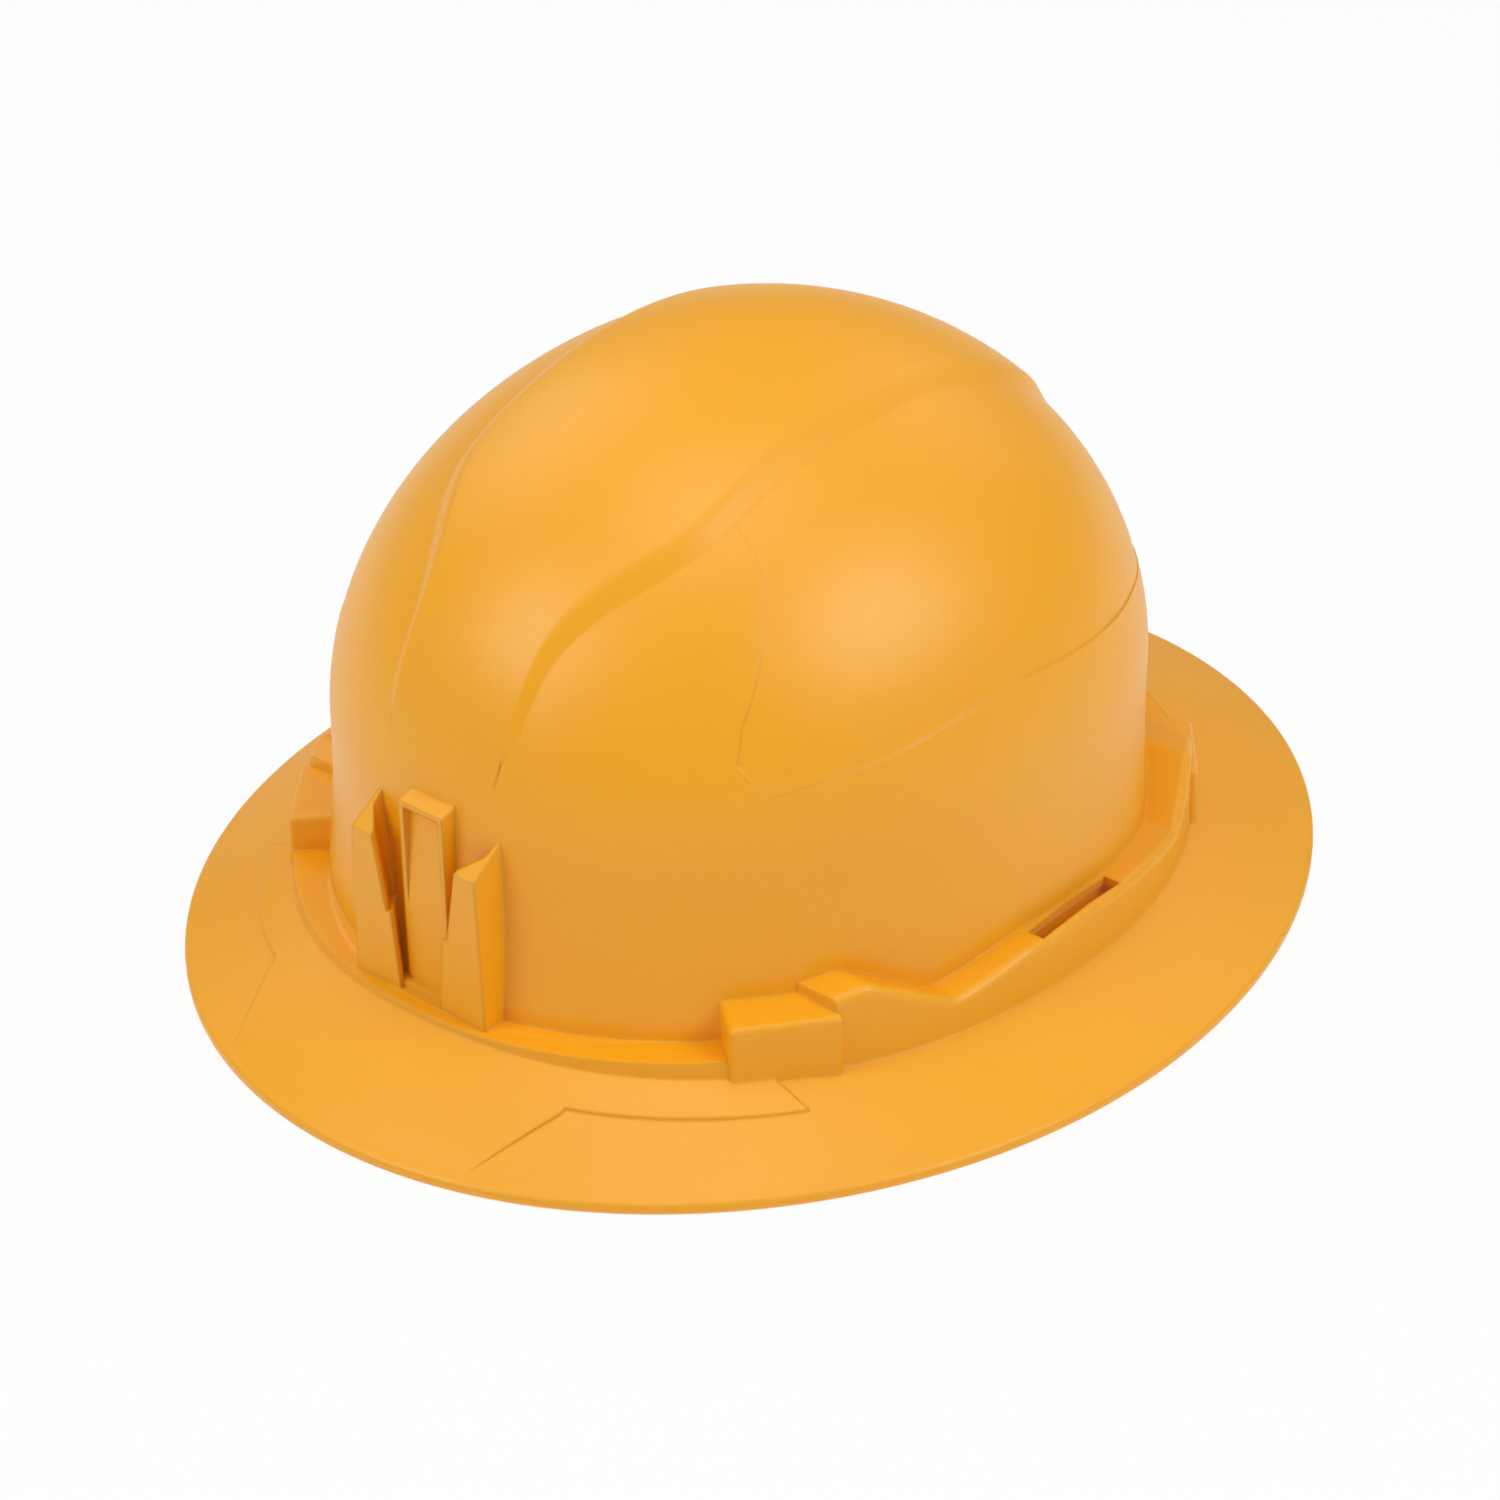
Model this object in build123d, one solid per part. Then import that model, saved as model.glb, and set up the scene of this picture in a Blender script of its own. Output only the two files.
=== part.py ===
from build123d import *
import os
from math import acos, cos, degrees, hypot, pi, radians, sin, sqrt, tan

# Full brim hard hat with a four point strap suspension and a ratchet headband, in millimetres.
# The origin is on the plane that the brim rests on, midway between the wearer's ears.
# The front of the hat faces -Y, the wearer's left is +X and up is +Z.

# Shell brim: an egg shaped rim and the cone that rises from it to the crown
rim_half_width = 135.0
rim_front = 158.9
rim_rear = 168.2
rim_edge = 2.6
rim_land = 3.2
rim_bead = 1.4
rim_radius = 0.9
collar_level = 15.0
collar_half_width = 106.0
collar_front = 135.5
collar_rear = 120.2
neck_level = 20.4
neck_half_width = 92.5
neck_front = 124.5
neck_rear = 97.8
brim_drop = 2.64

# Shell crown: two half ellipsoids over a wall that flares out towards the brim
wall = 2.4
crown_half_width = 96.4
crown_front = 117.2
crown_rear = 102.0
crown_level = 62.5
crown_rise = 88.0
crown_flare = 3.5
crown_foot = 8.0
flare_shares = (0.0, 0.25, 0.5, 0.75, 1.0)

# Raised band over the crown: half widths at its foot and its top edge, along its length
band_half_width = 44.6
band_lift = 2.2
band_sink = 0.3
band_ease_share = 0.45
band_root = 5.0
band_front_shares = (
    (0.972, 0.36, 0.350, 0.0),
    (0.935, 0.43, 0.385, 0.35),
    (0.890, 0.47, 0.390, 0.7),
    (0.836, 0.50, 0.405, 0.9),
    (0.759, 0.61, 0.465, 1.0),
    (0.657, 0.77, 0.615, 1.0),
    (0.546, 0.89, 0.735, 1.0),
    (0.427, 0.92, 0.748, 1.0),
    (0.256, 0.965, 0.757, 1.0),
)
band_rear_shares = (
    (0.0, 1.0, 0.785, 1.0),
    (0.294, 0.995, 0.789, 1.0),
    (0.539, 0.93, 0.780, 1.0),
    (0.690, 0.84, 0.690, 1.0),
    (0.800, 0.68, 0.540, 1.0),
    (0.880, 0.52, 0.430, 0.8),
    (0.930, 0.43, 0.380, 0.4),
    (0.966, 0.36, 0.350, 0.0),
)

# Side panels above a faint crease, set a little into the crown: shares of its length and its rise
panel_depth = 0.45
panel_start_share = 0.3
panel_shares = (
    (1.05, 0.200),
    (0.438, 0.297),
    (0.0, 0.326),
    (-0.117, 0.333),
    (-0.279, 0.307),
    (-0.466, 0.260),
    (-0.579, 0.2375),
    (-0.672, 0.211),
    (-0.705, 0.301),
    (-0.677, 0.385),
    (-0.495, 0.710),
    (-0.400, 1.10),
    (1.05, 1.10),
)

# Rail round the foot of the crown, with a hump before and behind each box
rail_half_width = 106.6
rail_front = 128.6
rail_rear = 120.6
rail_power = 2.09
rail_points = 28
rail_base = 8.0
rail_crest = 42.0
rail_draft = 1.6
rail_front_height = 20.9
rail_rear_height = 21.5
rail_side_height = 28.6
rail_side_shares = (
    (-1.00, 1.07),
    (-0.76, 1.16),
    (-0.67, 1.23),
    (-0.455, 0.83),
    (-0.24, 0.99),
    (0.0, 1.01),
    (0.265, 0.95),
    (0.455, 0.85),
    (0.66, 1.19),
    (0.76, 1.15),
    (1.00, 1.05),
)
rail_side_span = 102.0
rail_bend_radius = 5.0
rail_edge_radius = 2.0
rail_face_share = 0.9

# Key boxes at the four corners of the rail
box_width = 26.7
box_height = 30.0
box_rise = 2.4
box_depth = 24.0
box_draft = 0.7
box_edge_radius = 1.4
front_box_x = 80.5
front_box_y = -87.3
front_box_turn = 51.8
rear_box_x = 83.0
rear_box_y = 78.5
rear_box_turn = 126.4

# Accessory slot in the rail beside each ear
slot_length = 32.4
slot_middle = -3.0
slot_inner = 98.9
slot_width = 4.5

# Lamp bracket: two dovetail rails and a framed tongue, front and rear
bracket_face = 124.0
rear_bracket_stand = 4.9
bracket_depth = 14.0
bracket_half_width = 21.5
bracket_taper = 0.032
bracket_top = 60.9
bracket_slope = 34.0
bracket_foot = 15.0
bracket_lip = 1.2
bracket_undercut = 5.8
bracket_throat = 4.0
bracket_crest = 8.0
bracket_step = 41.4
lip_half_top = 13.2
lip_half_step = 9.9
lip_half_ledge = 8.4
lip_half_foot = 6.6
sill_level = 22.9
sill_half_width = 9.0
tongue_half_width = 6.9
tongue_setback = 3.3
tongue_top = 71.3
tongue_frame = 1.4
tongue_recess = 2.4
tongue_fade = 44.0

# Raised visor patch on the brim, in front of the crown, which sinks into the brim at the rim
patch_lift = 0.75
patch_sink = 0.15
patch_margin = 2.5
patch_half_width = 47.5
patch_half_tip = 35.5
patch_bend = 127.9
strip_offset = 8.5
strip_end = 89.7

# Diagonal lines from the strap crossing to the four keys
crossing_y = -5.35
diagonal_turn = 43.65

# Key: a J shaped hook whose plug stands in a box and whose plate carries strap and headband
key_plate_reach = 95.8
key_plate_thickness = 2.4
key_plate_width = 21.0
key_plate_top = 41.0
key_bridge_level = 15.4
key_bridge_height = 3.4
key_plug_reach = 107.2
key_plug_thickness = 3.0
key_plug_width = 15.0
key_plug_height = 11.6
key_edge_radius = 1.0
key_post_level = 25.0
key_post_radius = 2.4
key_post_head_radius = 3.2
key_post_head = 0.6
key_post_length = 2.5
pocket_clearance = 0.7
pocket_height = 28.4
pocket_outer_clearance = 1.4

# Crown straps: woven webbing from key to key, one over the other
strap_width = 16.0
strap_thickness = 1.4
strap_level = 36.0
strap_crown = 118.0
strap_gap = 0.3
strap_slot_clearance = 0.35

# Crown pad under the crossing
crown_pad_radius = 34.0
crown_pad_thickness = 5.0

# Headband: front half ellipse, ear posts and arms that run back to the rear keys
headband_half_width = 88.0
headband_front = 109.0
headband_thickness = 2.0
headband_bottom = 11.0
headband_height = 22.5
headband_tail = 14.0
arm_bottom = 18.0
arm_height = 15.0
arm_thickness = 2.2
arm_gap = 1.6
arm_end_angle = 50.0
lug_width = 15.0
lug_clearance = 0.3
lug_hole_clearance = 0.1
ear_post_radius = 2.6
ear_post_y = -7.0
ear_post_level = 24.0
ear_post_head_radius = 3.6
ear_post_head = 0.9
ear_post_clearance = 0.3

# Brow pad: soft pad inside the front of the headband
brow_pad_thickness = 4.6
brow_pad_gap = 0.4
brow_pad_bottom = 9.0
brow_pad_height = 31.0
brow_pad_span = 55.0

# Rear bands: two arcs about one centre, each ending in a rack
band_radius = 85.0
band_centre_y = 0.0
band_thickness = 2.0
band_bottom = 14.0
band_height = 20.0
band_full_angle = 40.0
band_tip_angle = 103.0
hinge_gap = 0.3

# Temple tab: swivels on the ear post and carries the rear band's flexing end
tab_front = 5.5
post_clearance = 0.05

# Ratchet pinion and racks
pinion_teeth = 8
pinion_pitch_radius = 4.5
pinion_root_radius = 3.2
pinion_tip_radius = 5.3
tooth_base = 1.9
tooth_tip = 0.9
rack_tip = 3.9
rack_root = 6.0
rack_height = 4.0
rack_lag = 0.25
rack_start_angle = 66.0
rack_stop_angle = 101.0
tooth_inset = 0.1

# Ratchet housing: curved inner and outer covers
cover_gap = 1.0
cover_thickness = 1.8
cover_half_angle = 22.0
cover_bottom = 8.0
cover_height = 32.0
cover_join = 0.3
boss_radius = 1.9
boss_angle = 18.0
screw_radius = 0.8
screw_head_radius = 1.5
screw_head = 0.8
screw_fit = 0.02
service_hole_radius = 3.4

# Adjustment knob, rubber grip and detent
knob_radius = 18.0
knob_height = 7.3
knob_gap = 0.4
knob_cavity_radius = 15.6
knob_cavity = 3.2
knob_hub_radius = 5.2
grip_radius = 20.5
grip_fit = 0.05
grip_ribs = 20
grip_rib_radius = 1.5
shaft_radius = 2.6
shaft_clearance = 0.05
shaft_socket = 3.0
shaft_fit = 0.02
detent_notches = 24
detent_notch_depth = 1.0
detent_ring_outer = 10.0
detent_ring_gap = 0.3
detent_thickness = 1.4
detent_tip_radius = 0.9
detent_tip_gap = 0.4
detent_arm_width = 2.2
collar_radius = 6.6
collar_height_share = 0.9
collar_gap = 0.3
cover_pad_radius = 14.9
pinion_screw_radius = 1.2
pinion_screw_head_radius = 2.6
pinion_screw_head = 1.2
pinion_screw_length = 11.0
pinion_gap = 0.3

# Nape pad on the inner cover
nape_pad_thickness = 4.2
nape_pad_gap = 0.3
nape_pad_half_angle = 20.0
nape_pad_margin = 3.0

# One overrun serves every cut
overrun = 2.0


def mirror_pair(shape):
    return shape, mirror(shape, about=Plane.YZ)


# Sections and outlines


def oval(half_width, front, rear, level):
    front_half = Edge.make_ellipse(half_width, front, Plane.XY, start_angle=180, end_angle=360)
    rear_half = Edge.make_ellipse(half_width, rear, Plane.XY, start_angle=0, end_angle=180)
    return Pos(0, 0, level) * Face(Wire([front_half, rear_half]))


def rail_outline(inset, level):
    points = []
    for i in range(rail_points):
        angle = 2 * pi * i / rail_points
        c, s = cos(angle), sin(angle)
        length = rail_front if s < 0 else rail_rear
        x = (rail_half_width - inset) * (abs(c) ** (2 / rail_power)) * (1 if c > 0 else -1)
        y = (length - inset) * (abs(s) ** (2 / rail_power)) * (1 if s > 0 else -1)
        points.append(Vector(x, y, level))
    return Face(Wire([Edge.make_spline(points, periodic=True)]))


def profile_plane(x, y, turn):
    # Sketch X points outward in plan and sketch Y points up; turn is counted from -Y towards +X.
    outward = Vector(sin(radians(turn)), -cos(radians(turn)), 0)
    return Plane(origin=(x, y, 0), x_dir=outward, z_dir=(outward.Y, -outward.X, 0))


def profile_block(plane, points, width):
    face = plane * make_face(Polyline(*points, close=True))
    return extrude(face, width / 2, both=True)


# Crown


def crown_half(grow, foot, length):
    half_width = crown_half_width + grow
    levels = [foot + share * (crown_level - foot) for share in flare_shares]
    drops = [(crown_level - level) / (crown_level - collar_level) for level in levels]
    side = [Vector(half_width + crown_flare * drop**2, 0, level) for level, drop in zip(levels, drops)]
    arc = Edge.make_ellipse(half_width, crown_rise + grow, Plane.XZ, start_angle=0, end_angle=90)
    axis_foot, axis_top = Vector(0, 0, foot), Vector(0, 0, crown_level + crown_rise + grow)
    outline = Wire(
        [
            Edge.make_line(axis_foot, side[0]),
            Edge.make_spline(side),
            Pos(0, 0, crown_level) * arc,
            Edge.make_line(axis_top, axis_foot),
        ]
    )
    return scale(revolve(Face(outline), Axis.Z, 180), by=(1, (length + grow) / half_width, 1))


def crown_solid(grow, foot):
    front = mirror(crown_half(grow, foot, crown_front), about=Plane.XZ)
    return front + crown_half(grow, foot, crown_rear)


def crown_height(x, y, grow):
    length = (crown_front if y < 0 else crown_rear) + grow
    inside = 1 - (x / (crown_half_width + grow)) ** 2 - (y / length) ** 2
    return crown_level + (crown_rise + grow) * sqrt(inside)


def side_panel():
    # What the panel takes off the wearer's left of the crown; it fades out where the crown faces forward or up
    points = [
        (y * (crown_front if y < 0 else crown_rear), crown_level + rise * crown_rise) for y, rise in panel_shares
    ]
    start = Plane.YZ.offset(panel_start_share * band_half_width)
    region = extrude(start * make_face(Polyline(*points, close=True)), crown_half_width)
    narrower = scale(crown_solid(0, crown_foot), by=(1 - panel_depth / crown_half_width, 1, 1))
    return region - narrower


def band_section(y, foot_half, top_half, lift):
    # Sunk a little so that its ends dive under the crown instead of lying on it
    def point(x, height):
        return Vector(x, y, crown_height(x, y, height) - band_sink)

    def flank(side):
        ease = band_ease_share * (foot_half - top_half)
        return [
            point(side * top_half, lift),
            point(side * (top_half + ease), lift),
            point(side * (foot_half - ease), 0),
            point(side * foot_half, 0),
        ]

    left, right = flank(-1), flank(1)
    top = Edge.make_spline([point(top_half * share, lift) for share in (-1, -0.5, 0, 0.5, 1)])
    left_base, right_base = left[-1] - Vector(0, 0, band_root), right[-1] - Vector(0, 0, band_root)
    return Face(
        Wire(
            [
                Edge.make_line(left_base, left[-1]),
                Edge.make_bezier(*reversed(left)),
                top,
                Edge.make_bezier(*right),
                Edge.make_line(right[-1], right_base),
                Edge.make_line(right_base, left_base),
            ]
        )
    )


def crown_band():
    stations = [(-y * crown_front, foot, top, lift) for y, foot, top, lift in band_front_shares]
    stations += [(y * crown_rear, foot, top, lift) for y, foot, top, lift in band_rear_shares]
    sections = [
        band_section(y, foot * band_half_width, top * band_half_width, lift * band_lift)
        for y, foot, top, lift in stations
    ]
    return loft(sections)


# Brim


def brim_solid():
    edge = extrude(oval(rim_half_width, rim_front, rim_rear, 0), rim_edge)
    brim = edge + brim_cone(rim_edge, 0)
    rim = [e for e in brim.edges() if e.bounding_box().max.Z < collar_level / 2 and e.length > rim_front]
    return fillet(rim, rim_radius)


def brim_cone(rim_level, lift):
    return loft(
        [
            oval(rim_half_width, rim_front, rim_rear, rim_level),
            oval(collar_half_width, collar_front, collar_rear, collar_level + lift),
            oval(neck_half_width, neck_front, neck_rear, neck_level + lift),
        ]
    )


def brim_hollow():
    inner = (rim_half_width - rim_land, rim_front - rim_land, rim_rear - rim_land)
    edge = extrude(oval(*inner, -overrun), rim_bead + overrun)
    cone = loft(
        [
            oval(*inner, rim_bead),
            oval(collar_half_width, collar_front, collar_rear, collar_level - brim_drop),
            oval(neck_half_width, neck_front, neck_rear, neck_level - brim_drop),
        ]
    )
    return edge + cone


def visor_patch():
    raised = brim_cone(rim_edge - patch_sink, patch_lift)
    margin = (rim_half_width - patch_margin, rim_front - patch_margin, rim_rear - patch_margin)
    patch = make_face(
        Polyline(
            (0, -rim_front),
            (patch_half_tip, -rim_front),
            (patch_half_tip, -(rim_front - patch_margin)),
            (patch_half_width, -patch_bend),
            (patch_half_width, -collar_level),
            (0, -collar_level),
            close=True,
        )
    )
    patch = patch + mirror(patch, about=Plane.YZ)
    prism = extrude(patch, rail_crest) & extrude(oval(*margin, 0), rail_crest)
    strip = extrude(rail_outline(-strip_offset, 0), rail_crest)
    ahead = Pos(0, -strip_end - rim_front / 2, rail_crest / 2) * Box(2 * rim_half_width, rim_front, rail_crest)
    return raised & (prism + (strip & ahead))


# Rail and boxes


def rail_solid(inset, drop):
    prism = loft([rail_outline(inset, rail_base), rail_outline(inset + rail_draft, rail_crest)])
    points = [(y * rail_side_span, z * rail_side_height - drop) for y, z in rail_side_shares]
    base = rail_base - overrun
    outline = Polyline((points[0][0], base), *points, (points[-1][0], base), close=True)
    side = make_face(Plane.YZ * outline)
    bends = [v for v in side.vertices() if points[0][0] < v.Y < points[-1][0]]
    side = fillet(bends, rail_bend_radius)
    sides = prism & extrude(side, rail_half_width, both=True)
    front_box = Pos(0, -rail_front / 2 - collar_level, (rail_front_height - drop) / 2) * Box(
        2 * front_box_x, rail_front, rail_front_height - drop
    )
    rear_box = Pos(0, rail_rear / 2 + collar_level, (rail_rear_height - drop) / 2) * Box(
        2 * rear_box_x, rail_rear, rail_rear_height - drop
    )
    side_end = rail_side_span * 3 / 4
    front_clip = Pos(0, -rail_front - side_end, 0) * Box(3 * rail_front, 2 * rail_front, 3 * rail_crest)
    rear_clip = Pos(0, rail_rear + side_end, 0) * Box(3 * rail_rear, 2 * rail_rear, 3 * rail_crest)
    front = prism & front_box & front_clip
    rear = prism & rear_box & rear_clip
    middle = sides & Box(3 * rail_half_width, 2 * (side_end - inset), 3 * rail_crest)
    return middle, front, rear


def round_rail(piece):
    # Rounds the edges between the rail's top and its outer face
    def face_share(point):
        length = rail_front if point.Y < 0 else rail_rear
        return (abs(point.X) / rail_half_width) ** rail_power + (abs(point.Y) / length) ** rail_power

    edges = [
        e
        for e in piece.edges()
        if face_share(e.center()) > rail_face_share
        and e.bounding_box().min.Z > rail_base + wall
        and e.length > wall
    ]
    return fillet(edges, rail_edge_radius)


def key_box(x, y, turn, inset, drop):
    plane = profile_plane(x, y, turn)
    top = box_height - drop
    reach = -inset
    points = [
        (-box_depth, rail_base),
        (reach + box_draft, rail_base),
        (reach, top),
        (-box_depth, top + box_rise),
    ]
    return profile_block(plane, points, box_width - 2 * inset)


def round_box(block):
    outer = block.faces().sort_by(lambda f: hypot(f.center().X, f.center().Y))[-1]
    rounded = [e for e in outer.edges() if e.center().Z > rail_base + overrun]
    top = block.faces().sort_by(Axis.Z)[-1]
    rounded += [e for e in top.edges() if all((e.center() - r.center()).length > rim_land for r in rounded)]
    inner = min(rounded, key=lambda e: hypot(e.center().X, e.center().Y))
    return fillet([e for e in rounded if e is not inner], box_edge_radius)


# Lamp bracket, drawn at the front and turned for the rear


def dovetail_section(level, lip, face):
    outer = bracket_half_width - bracket_taper * level
    front, back = -face, -(face - bracket_depth)
    throat = lip + bracket_throat
    return Pos(0, 0, level) * make_face(
        Polyline(
            (outer, front),
            (outer, back),
            (throat, back),
            (throat, -(face - bracket_undercut)),
            (lip, front + bracket_lip),
            (lip, front),
            close=True,
        )
    )


def lip_half(level):
    if level > bracket_step:
        slope = (lip_half_top - lip_half_step) / (bracket_top - bracket_step)
        return lip_half_step + slope * (level - bracket_step)
    slope = (lip_half_ledge - lip_half_foot) / (bracket_step - sill_level)
    return lip_half_foot + slope * (level - sill_level)


def lamp_bracket(face):
    crest = bracket_top + bracket_crest
    upper = loft(
        [
            dovetail_section(bracket_step, lip_half_step, face),
            dovetail_section(crest, lip_half(crest), face),
        ],
        ruled=True,
    )
    lower = loft(
        [
            dovetail_section(bracket_foot, lip_half(bracket_foot), face),
            dovetail_section(bracket_step, lip_half_ledge, face),
        ],
        ruled=True,
    )
    rise = bracket_depth * tan(radians(bracket_slope))
    front_plane = Plane(origin=(0, 0, 0), x_dir=(0, -1, 0), z_dir=(-1, 0, 0))
    above = make_face(
        front_plane
        * Polyline(
            (face + overrun, bracket_top - overrun * tan(radians(bracket_slope))),
            (face - bracket_depth, bracket_top + rise),
            (face - bracket_depth, crest + rise),
            (face + overrun, crest + rise),
            close=True,
        )
    )
    side = (upper + lower) - extrude(above, 2 * bracket_half_width, both=True)
    tongue_face = face - tongue_setback
    tongue_back = face - bracket_depth
    tongue = make_face(
        front_plane
        * Polyline(
            (tongue_face, bracket_foot),
            (tongue_face, tongue_top),
            (tongue_back, tongue_top + bracket_depth / 4),
            (tongue_back, bracket_foot),
            close=True,
        )
    )
    recess = make_face(
        front_plane
        * Polyline(
            (tongue_face + overrun, tongue_top - tongue_frame),
            (tongue_face - tongue_recess, tongue_top - tongue_frame),
            (tongue_face, tongue_fade),
            (tongue_face + overrun, tongue_fade),
            close=True,
        )
    )
    plate = extrude(tongue, tongue_half_width, both=True)
    plate -= extrude(recess, tongue_half_width - tongue_frame, both=True)
    sill_depth = bracket_depth - bracket_lip
    sill = Pos(0, -(face - bracket_lip - sill_depth / 2), (bracket_foot + sill_level) / 2) * Box(
        2 * sill_half_width, sill_depth, sill_level - bracket_foot
    )
    return [*mirror_pair(side), plate, sill]


# Diagonal frame of a key: reach is counted from the strap crossing


def diagonal_plane(corner):
    return profile_plane(0, crossing_y, corner)


front_left, front_right = diagonal_turn, -diagonal_turn
rear_left, rear_right = 180 - diagonal_turn, diagonal_turn - 180
box_places = {
    front_left: (front_box_x, front_box_y, front_box_turn),
    front_right: (-front_box_x, front_box_y, -front_box_turn),
    rear_left: (rear_box_x, rear_box_y, rear_box_turn),
    rear_right: (-rear_box_x, rear_box_y, -rear_box_turn),
}


def box_reach(corner):
    x, y, turn = box_places[corner]
    return x * sin(radians(corner)) - (y - crossing_y) * cos(radians(corner))


def key_pocket(corner):
    reach = box_reach(corner) - wall - pocket_outer_clearance
    points = [(0, rail_base - overrun), (reach, rail_base - overrun), (reach, pocket_height), (0, pocket_height)]
    width = key_plug_width + 2 * pocket_clearance + 2 * wall
    return profile_block(diagonal_plane(corner), points, width)


def bridge_notch(corner):
    # Gap under the crown wall that the key's bridge passes through, so that the key hooks over the wall
    start, end = key_plate_reach, box_reach(corner) - wall - pocket_outer_clearance
    bottom, top = rail_base - overrun, key_bridge_level + key_bridge_height + pocket_clearance
    points = [(start, bottom), (end, bottom), (end, top), (start, top)]
    return profile_block(diagonal_plane(corner), points, key_plug_width + 2 * pocket_clearance)


# Shell


def shell():
    crown = crown_solid(0, crown_foot)
    middle, front, rear = rail_solid(0, 0)
    added = [brim_solid(), visor_patch(), round_rail(middle), front, rear, crown_band()]
    added += [round_box(key_box(x, y, turn, 0, 0)) for x, y, turn in box_places.values()]
    added += lamp_bracket(bracket_face)
    added += [Rot(0, 0, 180) * piece for piece in lamp_bracket(crown_rear + crown_flare + rear_bracket_stand)]
    slot = Pos(slot_inner + slot_width / 2, slot_middle, rail_side_height / 2) * Box(
        slot_width, slot_length, rail_side_height + 2 * overrun
    )
    cut = [brim_hollow(), crown_solid(-wall, -overrun), *mirror_pair(slot)]
    cut += [hollow - crown for hollow in rail_solid(wall, wall)]
    cut += [key_pocket(corner) - crown for corner in box_places]
    cut += [bridge_notch(corner) for corner in box_places]
    return crown - [*mirror_pair(side_panel())] + added - cut


# Keys


def key(corner):
    plane = diagonal_plane(corner)
    near, far = key_plate_reach, key_plate_reach + key_plate_thickness
    bottom = key_bridge_level
    plug_end = key_plug_reach + key_plug_thickness
    plate = profile_block(
        plane, [(near, bottom), (far, bottom), (far, key_plate_top), (near, key_plate_top)], key_plate_width
    )
    plate = fillet(plate.edges().filter_by(Axis((0, 0, 0), plane.x_dir)), key_edge_radius)
    hook = profile_block(
        plane,
        [
            (near, bottom),
            (plug_end, bottom),
            (plug_end, bottom + key_plug_height),
            (key_plug_reach, bottom + key_plug_height),
            (key_plug_reach, bottom + key_bridge_height),
            (near, bottom + key_bridge_height),
        ],
        key_plug_width,
    )
    tail = strap_tail_block(plane, strap_slot_clearance)
    post_plane = Plane(plane.origin + plane.x_dir * near + Vector(0, 0, key_post_level), z_dir=-plane.x_dir)
    post = extrude(post_plane * Circle(key_post_radius), key_post_length)
    head = extrude(post_plane.offset(key_post_length) * Circle(key_post_head_radius), key_post_head)
    return plate + hook - tail + post + head


def strap_tail_block(plane, clearance):
    # The strap's folded end, which passes through the slot of the key plate
    start = key_plate_reach - lug_clearance - strap_thickness
    end = key_plate_reach + key_plate_thickness - strap_gap
    low = strap_level - strap_thickness
    points = [
        (start - clearance, low - clearance),
        (end + 2 * clearance, low - clearance),
        (end + 2 * clearance, strap_level + clearance),
        (start - clearance, strap_level + clearance),
    ]
    return profile_block(plane, points, strap_width + 2 * clearance)


# Crown straps


def strap_arch(plane, crown):
    reach = key_plate_reach - lug_clearance
    rise = crown - strap_level
    outer = Edge.make_ellipse(reach, rise, Plane.XY, start_angle=0, end_angle=90)
    inner = Edge.make_ellipse(
        reach - strap_thickness, rise - strap_thickness, Plane.XY, start_angle=0, end_angle=90
    )
    outline = Wire(
        [
            outer,
            Edge.make_line((0, rise, 0), (0, rise - strap_thickness, 0)),
            inner,
            Edge.make_line((reach - strap_thickness, 0, 0), (reach, 0, 0)),
        ]
    )
    face = plane * Pos(0, strap_level, 0) * Face(outline)
    return extrude(face, strap_width / 2, both=True)


def crown_strap(front_corner, rear_corner, crown):
    halves = [strap_arch(diagonal_plane(corner), crown) for corner in (front_corner, rear_corner)]
    tails = [strap_tail_block(diagonal_plane(corner), 0) for corner in (front_corner, rear_corner)]
    return halves[0] + [halves[1], *tails]


def dome_arc(reach, rise):
    # The part of a quarter ellipse over the crown pad
    start = degrees(acos(crown_pad_radius / reach))
    return Edge.make_ellipse(reach, rise, Plane.XZ, start_angle=start, end_angle=90)


def crown_pad():
    reach = key_plate_reach - lug_clearance - strap_thickness - strap_gap
    rise = strap_crown - strap_level - strap_thickness - strap_gap
    upper = dome_arc(reach, rise)
    lower = dome_arc(reach - crown_pad_thickness, rise - crown_pad_thickness)
    sides = [Edge.make_line(upper @ 0, lower @ 0), Edge.make_line(upper @ 1, lower @ 1)]
    half = revolve(Face(Wire([upper, lower, *sides])), Axis.Z, 180)
    return Pos(0, crossing_y, strap_level) * (half + mirror(half, about=Plane.XZ))


# Headband


def ring_wall(half_width, front, thickness, bottom, height):
    outer = Edge.make_ellipse(half_width, front, Plane.XY, start_angle=180, end_angle=360)
    inner = Edge.make_ellipse(
        half_width - thickness, front - thickness, Plane.XY, start_angle=180, end_angle=360
    )
    left = Edge.make_line((half_width - thickness, 0, 0), (half_width, 0, 0))
    right = Edge.make_line((-half_width, 0, 0), (thickness - half_width, 0, 0))
    face = Face(Wire([outer, left, inner, right]))
    return extrude(Pos(0, 0, bottom) * face, height)


def arc_wall(radius, thickness, start, end, bottom, height):
    # Curved strip about the rear bands' centre; angles run from +X towards +Y
    centre = Vector(0, band_centre_y, 0)
    face = make_face(
        [
            Edge.make_circle(radius, Plane(centre), start, end),
            Edge.make_circle(radius - thickness, Plane(centre), start, end),
            Edge.make_line(arc_point(radius - thickness, start), arc_point(radius, start)),
            Edge.make_line(arc_point(radius - thickness, end), arc_point(radius, end)),
        ]
    )
    return extrude(Pos(0, 0, bottom) * face, height)


def arc_point(radius, angle):
    return Vector(radius * cos(radians(angle)), band_centre_y + radius * sin(radians(angle)), 0)


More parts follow.
